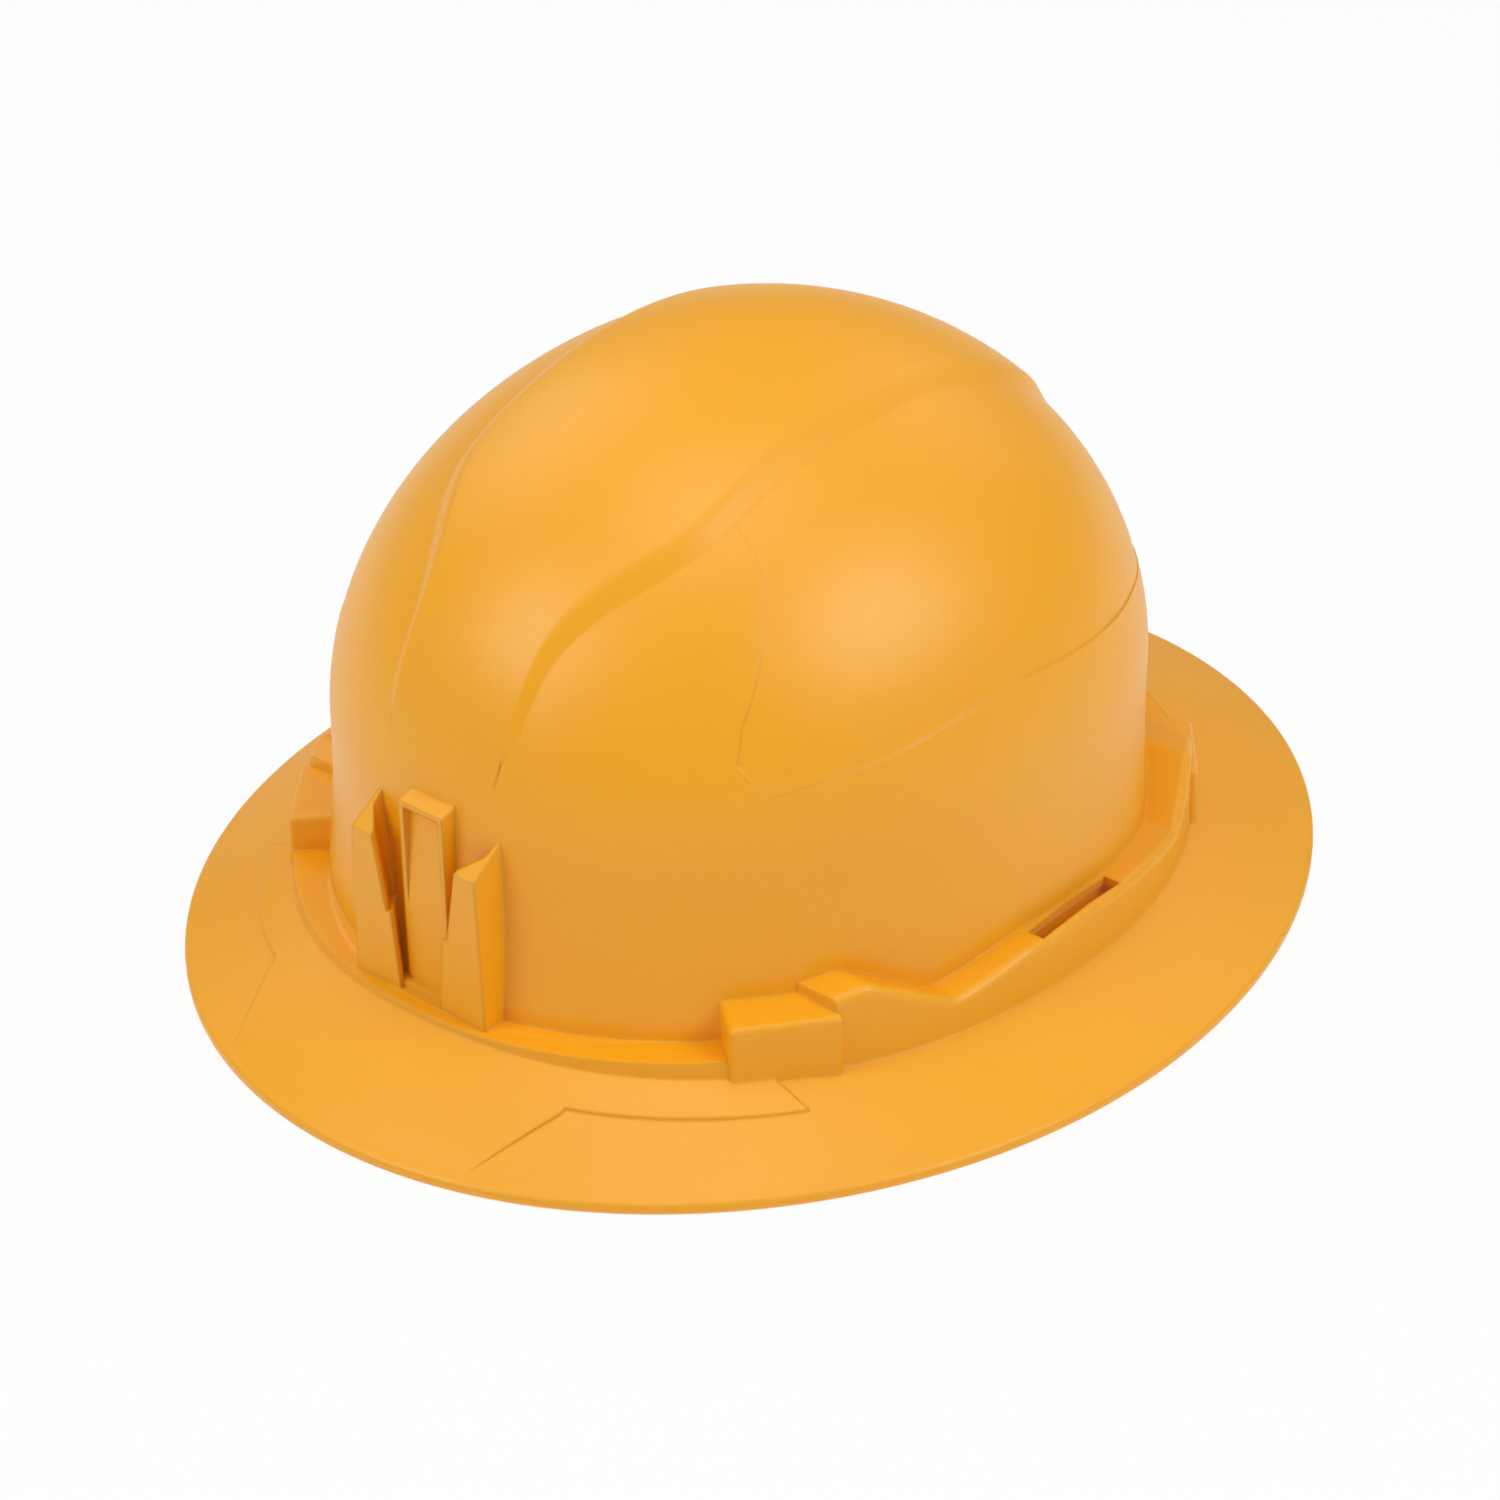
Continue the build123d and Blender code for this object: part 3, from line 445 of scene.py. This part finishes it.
# Woven polyester: dull yarns in slanting ribs that turn back at each herringbone
webbing, tree = new_material("herringbone_polyester_webbing")
place = add_node(tree, "ShaderNodeUVMap", uv_map="webbing")
parts = add_node(tree, "ShaderNodeSeparateXYZ", {0: place.outputs[0]})
folded = add_node(
    tree, "ShaderNodeMath", {0: parts.outputs[0], 1: herringbone_width}, operation="PINGPONG"
)
across = add_node(
    tree, "ShaderNodeMath", {0: folded.outputs[0], 1: 2 * pi / yarn_width}, operation="MULTIPLY"
)
phase = add_node(
    tree,
    "ShaderNodeMath",
    {0: parts.outputs[1], 1: 2 * pi / yarn_rise, 2: across.outputs[0]},
    operation="MULTIPLY_ADD",
)
rib = add_node(tree, "ShaderNodeMath", {0: phase.outputs[0]}, operation="SINE")
fibre = add_node(
    tree,
    "ShaderNodeTexNoise",
    {"Vector": place.outputs[0], "Scale": 1 / fibre_size, "Detail": 2.0, "Roughness": 0.6},
)
height = add_node(
    tree, "ShaderNodeMath", {0: rib.outputs[0], 1: fibre.outputs["Fac"]}, operation="ADD"
)
# Darker where the weave is low, in the grooves between the ribs: painted shade, varied by the
# fibres' random tone
painted_shade_and_tone = add_node(
    tree,
    "ShaderNodeMapRange",
    {
        "Value": height.outputs[0],
        "From Min": rib_height_range[0],
        "From Max": rib_height_range[1],
    },
)
tint = add_node(
    tree,
    "ShaderNodeMix",
    {0: painted_shade_and_tone.outputs["Result"], 6: linear(webbing_painted_shade), 7: linear(webbing_colour)},
    data_type="RGBA",
)
bump = add_node(
    tree,
    "ShaderNodeBump",
    {"Height": height.outputs[0], "Distance": yarn_depth, "Strength": 0.8},
)
surface = add_node(
    tree,
    "ShaderNodeBsdfPrincipled",
    {
        "Base Color": tint.outputs[2],
        "Roughness": 0.85,
        "IOR": 1.5,
        "Sheen Weight": 0.3,
        "Sheen Roughness": 0.4,
        "Normal": bump.outputs["Normal"],
    },
)
add_node(tree, "ShaderNodeOutputMaterial", {"Surface": surface.outputs[0]})


def outward(mesh):
    # Turns every face of a closed mesh to the outside
    shape = bmesh.new()
    shape.from_mesh(mesh)
    bmesh.ops.recalc_face_normals(shape, faces=shape.faces)
    shape.to_mesh(mesh)
    shape.free()


def smooth(mesh):
    mesh.polygons.foreach_set("use_smooth", [True] * len(mesh.polygons))


def strap_line(crown):
    # Reach and height along the strap: tail in the key, fold and half of the arch, then the same
    # mirrored down to the other key
    tail = [
        (strap_tail_end, strap_foot - strap_fold),
        (strap_reach + 2 * strap_fold, strap_foot - strap_fold),
    ]
    turn = [radians(angle) for angle in strap_fold_turns]
    fold = [
        (strap_reach + strap_fold * (1 + cos(angle)), strap_foot + strap_fold * sin(angle))
        for angle in turn
    ]
    rise = crown - strap_foot
    steps = [pi / 2 * i / strap_arch_steps for i in range(strap_arch_steps + 1)]
    arch = [(strap_reach * cos(angle), strap_foot + rise * sin(angle)) for angle in steps]
    half = tail + fold + arch
    return half + [(-reach, height) for reach, height in reversed(half[:-1])]


def strap_section():
    # Across and out: the field is a little thinner than the selvedges
    w, t = strap_half_width, strap_half_thickness
    side = strap_section_shares
    top = [(w * a, t * b) for a, b in side] + [(-w * a, t * b) for a, b in reversed(side[:-1])]
    return top + [(a, -b) for a, b in reversed(top)]


def webbing_strap(name, node, side, crown):
    # A strap from key to key; side is 1 where its front end is on the wearer's left, else -1
    line = strap_line(crown)
    ahead = Vector((side * sin(strap_turn), -cos(strap_turn), 0))
    sideways = Vector((-ahead.y, ahead.x, 0))
    section = strap_section()
    points, places, run = [], [], 0.0
    for i, (reach, height) in enumerate(line):
        before, after = line[max(i - 1, 0)], line[min(i + 1, len(line) - 1)]
        step = Vector((after[0] - before[0], after[1] - before[1])).normalized()
        out = ahead * step.y + Vector((0, 0, -step.x))
        centre = strap_crossing + ahead * reach + Vector((0, 0, height))
        if i:
            run += Vector((reach - line[i - 1][0], height - line[i - 1][1])).length
        for a, b in section:
            points.append(centre + sideways * a + out * b)
            places.append((a + strap_half_width, run))
    count = len(section)
    faces = [
        (
            i * count + k,
            i * count + (k + 1) % count,
            (i + 1) * count + (k + 1) % count,
            (i + 1) * count + k,
        )
        for i in range(len(line) - 1)
        for k in range(count)
    ]
    faces += [tuple(range(count)), tuple(range(len(points) - count, len(points)))]
    mesh = bpy.data.meshes.new(name)
    mesh.from_pydata(points, [], faces)
    layer = mesh.uv_layers.new(name="webbing")
    for loop in mesh.loops:
        layer.data[loop.index].uv = places[loop.vertex_index]
    outward(mesh)
    smooth(mesh)
    mesh.materials.append(webbing)
    strap = add_object(name, mesh)
    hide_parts(node)
    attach(strap, "hat")


webbing_strap("lower_webbing_strap", "lower_crown_strap", 1, lower_strap_crown)
webbing_strap("upper_webbing_strap", "upper_crown_strap", -1, upper_strap_crown)


# Soft pads
# Foam under knitted polyester at the brow, under the strap crossing and at the nape.
# Each cover is sewn through near its edge, and the foam swells up between the seams.

pad_shrink = 0.0006
pad_voxel = 0.0016
pad_swell = 0.0012
pad_frames = 20
pad_pressure = 4.0
pad_mass = 0.002
pad_weld_gap = 0.00002
pad_least_move_share = 0.001
pad_colour = "#2b2c2f"
# The second cover colour is painted shade for the gaps between the knit loops
pad_painted_shade = "#1f2022"
knit_loop = 0.0011
knit_depth = 0.00028
cover_cloud_size = 0.012
seam_half_width = 0.0016
seam_depth = 0.0009
seam_end_steps = 12
brow_half_width = 0.081
brow_front = 0.102
brow_ray_start = 0.9
brow_seam_turn = radians(57)
brow_seam_levels = (0.0135, 0.0355)
brow_seam_steps = 240
nape_ray_start = 0.066
nape_seam_turn = radians(17)
nape_seam_levels = (0.0145, 0.0335)
nape_seam_steps = 80
crown_seam_radius = 0.0285
crown_seam_steps = 160
crown_ray_start = 0.09
stitch_pitch = 0.0034
stitch_length = 0.0024
thread_radius = 0.00028
thread_colour = "#5a5c60"
thread_twist_size = 0.0003
thread_twist_depth = 0.00005

# Knitted polyester over foam: soft, dull and loopy; the loops are drawn a little coarse to show
knit, tree = new_material("knitted_polyester_cover")
place = add_node(tree, "ShaderNodeTexCoord")
loops = add_node(
    tree, "ShaderNodeTexVoronoi", {"Vector": place.outputs["Object"], "Scale": 1 / knit_loop}
)
cloud = add_node(
    tree,
    "ShaderNodeTexNoise",
    {"Vector": place.outputs["Object"], "Scale": 1 / cover_cloud_size, "Detail": 3.0},
)
# Darker towards the gaps between the loops, where the bump is low: painted shade, varied by a
# random cloud
painted_shade_and_tone = add_node(
    tree,
    "ShaderNodeMath",
    {0: loops.outputs["Distance"], 1: cloud.outputs["Fac"]},
    operation="MULTIPLY",
)
tint = add_node(
    tree,
    "ShaderNodeMix",
    {0: painted_shade_and_tone.outputs[0], 6: linear(pad_colour), 7: linear(pad_painted_shade)},
    data_type="RGBA",
)
bump = add_node(
    tree,
    "ShaderNodeBump",
    {"Height": loops.outputs["Distance"], "Distance": knit_depth, "Strength": 0.9},
    invert=True,
)
surface = add_node(
    tree,
    "ShaderNodeBsdfPrincipled",
    {
        "Base Color": tint.outputs[2],
        "Roughness": 0.92,
        "IOR": 1.5,
        "Sheen Weight": 0.45,
        "Sheen Roughness": 0.5,
        "Normal": bump.outputs["Normal"],
    },
)
add_node(tree, "ShaderNodeOutputMaterial", {"Surface": surface.outputs[0]})

# Spun polyester sewing thread: a slight gloss on each stitch
thread, tree = new_material("polyester_sewing_thread")
place = add_node(tree, "ShaderNodeTexCoord")
twist = add_node(
    tree,
    "ShaderNodeTexNoise",
    {"Vector": place.outputs["Object"], "Scale": 1 / thread_twist_size, "Detail": 1.0},
)
bump = add_node(
    tree,
    "ShaderNodeBump",
    {"Height": twist.outputs["Fac"], "Distance": thread_twist_depth, "Strength": 0.7},
)
surface = add_node(
    tree,
    "ShaderNodeBsdfPrincipled",
    {
        "Base Color": linear(thread_colour),
        "Roughness": 0.6,
        "IOR": 1.5,
        "Normal": bump.outputs["Normal"],
    },
)
add_node(tree, "ShaderNodeOutputMaterial", {"Surface": surface.outputs[0]})

# One row of stitches along a mesh line
stitch_tree = bpy.data.node_groups.new("row_of_stitches", "GeometryNodeTree")
stitch_sockets = {}
for socket_name, kind, flow in (
    ("Geometry", "NodeSocketGeometry", "INPUT"),
    ("Stitch Pitch", "NodeSocketFloat", "INPUT"),
    ("Stitch Length", "NodeSocketFloat", "INPUT"),
    ("Thread Radius", "NodeSocketFloat", "INPUT"),
    ("Thread", "NodeSocketMaterial", "INPUT"),
    ("Stitches", "NodeSocketGeometry", "OUTPUT"),
):
    socket = stitch_tree.interface.new_socket(name=socket_name, in_out=flow, socket_type=kind)
    stitch_sockets[socket_name] = socket.identifier
given = add_node(stitch_tree, "NodeGroupInput")
line = add_node(stitch_tree, "GeometryNodeMeshToCurve", {"Mesh": given.outputs["Geometry"]})
spaced = add_node(
    stitch_tree,
    "GeometryNodeCurveToPoints",
    {"Curve": line.outputs[0], "Length": given.outputs["Stitch Pitch"]},
    mode="LENGTH",
)
along = add_node(
    stitch_tree,
    "FunctionNodeAlignRotationToVector",
    {"Vector": spaced.outputs["Tangent"]},
    axis="Z",
)
bead = add_node(stitch_tree, "GeometryNodeMeshUVSphere", {"Segments": 8, "Rings": 6, "Radius": 1.0})
half_length = add_node(
    stitch_tree, "ShaderNodeMath", {0: given.outputs["Stitch Length"], 1: 0.5}, operation="MULTIPLY"
)
size = add_node(
    stitch_tree,
    "ShaderNodeCombineXYZ",
    {
        0: given.outputs["Thread Radius"],
        1: given.outputs["Thread Radius"],
        2: half_length.outputs[0],
    },
)
stitch = add_node(
    stitch_tree,
    "GeometryNodeTransform",
    {"Geometry": bead.outputs["Mesh"], "Scale": size.outputs[0]},
)
rows = add_node(
    stitch_tree,
    "GeometryNodeInstanceOnPoints",
    {
        "Points": spaced.outputs["Points"],
        "Instance": stitch.outputs[0],
        "Rotation": along.outputs[0],
    },
)
real = add_node(stitch_tree, "GeometryNodeRealizeInstances", {"Geometry": rows.outputs[0]})
sewn = add_node(
    stitch_tree,
    "GeometryNodeSetMaterial",
    {"Geometry": real.outputs[0], "Material": given.outputs["Thread"]},
)
add_node(stitch_tree, "NodeGroupOutput", {"Stitches": sewn.outputs[0]})


def bake_shape(obj):
    # The shape with its modifiers becomes the mesh
    seen = obj.evaluated_get(bpy.context.evaluated_depsgraph_get())
    mesh = bpy.data.meshes.new_from_object(seen)
    obj.modifiers.clear()
    obj.data = mesh


def swollen_pad(name, node):
    # The foam solid, a little smaller, with its cover blown up over it
    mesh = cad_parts[node].data.copy()
    shape = bmesh.new()
    shape.from_mesh(mesh)
    bmesh.ops.remove_doubles(shape, verts=shape.verts, dist=pad_weld_gap)
    bmesh.ops.recalc_face_normals(shape, faces=shape.faces)
    shape.normal_update()
    for vertex in shape.verts:
        vertex.co -= vertex.normal * pad_shrink
    shape.to_mesh(mesh)
    shape.free()
    mesh.materials.clear()
    pad = add_object(name, mesh)
    even = pad.modifiers.new("even_mesh", "REMESH")
    even.mode = "VOXEL"
    even.voxel_size = pad_voxel
    bake_shape(pad)
    start = [vertex.co.copy() for vertex in pad.data.vertices]
    cover = pad.modifiers.new("cover", "CLOTH")
    cover.settings.use_pressure = True
    cover.settings.uniform_pressure_force = pad_pressure
    cover.settings.mass = pad_mass
    cover.settings.effector_weights.gravity = 0
    for frame_number in range(1, pad_frames + 1):
        bpy.context.scene.frame_set(frame_number)
    bake_shape(pad)
    bpy.context.scene.frame_set(1)
    for vertex, place in zip(pad.data.vertices, start):
        move = vertex.co - place
        least = pad_swell * pad_least_move_share
        vertex.co = place + move * min(1, pad_swell / max(move.length, least))
    round_off = pad.modifiers.new("round_off", "SUBSURF")
    round_off.levels = 1
    round_off.render_levels = 1
    bake_shape(pad)
    pad.data.materials.clear()
    pad.data.materials.append(knit)
    smooth(pad.data)
    return pad


def sew(pad, rays, name):
    # Finds where a seam's rays meet the pad, draws the cover in there and lays the stitches
    tree = BVHTree.FromObject(pad, bpy.context.evaluated_depsgraph_get())
    line = [tree.ray_cast(start, way)[0] for start, way in rays]
    line = [point for point in line if point]
    near = KDTree(len(line))
    for index, point in enumerate(line):
        near.insert(point, index)
    near.balance()
    ways = [way for start, way in rays]
    for vertex in pad.data.vertices:
        point, index, gap = near.find(vertex.co)
        if gap < seam_half_width and vertex.normal.dot(ways[index]) < 0:
            vertex.co += ways[index] * seam_depth * cos(gap / seam_half_width * pi / 2) ** 2
    pad.data.update()
    tree = BVHTree.FromObject(pad, bpy.context.evaluated_depsgraph_get())
    sunk = [tree.ray_cast(start, way)[0] for start, way in rays]
    sunk = [point for point in sunk if point]
    mesh = bpy.data.meshes.new(name)
    mesh.from_pydata(sunk, [(i, i + 1) for i in range(len(sunk) - 1)], [])
    row = add_object(name, mesh)
    stitched = row.modifiers.new("row_of_stitches", "NODES")
    stitched.node_group = stitch_tree
    stitched[stitch_sockets["Stitch Pitch"]] = stitch_pitch
    stitched[stitch_sockets["Stitch Length"]] = stitch_length
    stitched[stitch_sockets["Thread Radius"]] = thread_radius
    stitched[stitch_sockets["Thread"]] = thread
    bake_shape(row)
    smooth(row.data)
    return row


def seam_places(low, high, bottom, top, steps):
    # Turns and levels of a seam that runs round a pad, along its long sides and across its ends
    along = [low + (high - low) * i / steps for i in range(steps + 1)]
    up = [bottom + (top - bottom) * i / seam_end_steps for i in range(1, seam_end_steps)]
    return (
        [(turn, bottom) for turn in along]
        + [(high, level) for level in up]
        + [(turn, top) for turn in reversed(along)]
        + [(low, level) for level in reversed(up)]
        + [(low, bottom)]
    )


def brow_ray(turn, level):
    # From inside the elliptical brow pad, outwards and square to it
    start = Vector((brow_half_width * sin(turn), -brow_front * cos(turn), 0)) * brow_ray_start
    way = Vector((sin(turn) / brow_half_width, -cos(turn) / brow_front, 0)).normalized()
    return start + Vector((0, 0, level)), way


def nape_ray(turn, level):
    # From inside the curved nape pad, outwards
    way = Vector((sin(turn), cos(turn), 0))
    return way * nape_ray_start + Vector((0, 0, level)), way


def crown_ray(turn):
    # From below the round crown pad, upwards
    start = Vector((crown_seam_radius * cos(turn), crown_seam_radius * sin(turn), crown_ray_start))
    return start + strap_crossing, Vector((0, 0, 1))


brow_places = seam_places(-brow_seam_turn, brow_seam_turn, *brow_seam_levels, brow_seam_steps)
nape_places = seam_places(-nape_seam_turn, nape_seam_turn, *nape_seam_levels, nape_seam_steps)
brow_seam = [brow_ray(*place) for place in brow_places]
nape_seam = [nape_ray(*place) for place in nape_places]
crown_seam = [crown_ray(2 * pi * i / crown_seam_steps) for i in range(crown_seam_steps + 1)]

for name, node, body, seam in (
    ("brow_sweat_pad", "brow_pad", "hat", brow_seam),
    ("nape_sweat_pad", "nape_pad", "ratchet_housing", nape_seam),
    ("crown_cushion", "crown_pad", "hat", crown_seam),
):
    pad = swollen_pad(name, node)
    row = sew(pad, seam, name + "_stitches")
    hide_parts(node)
    for piece in (pad, row):
        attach(piece, body)
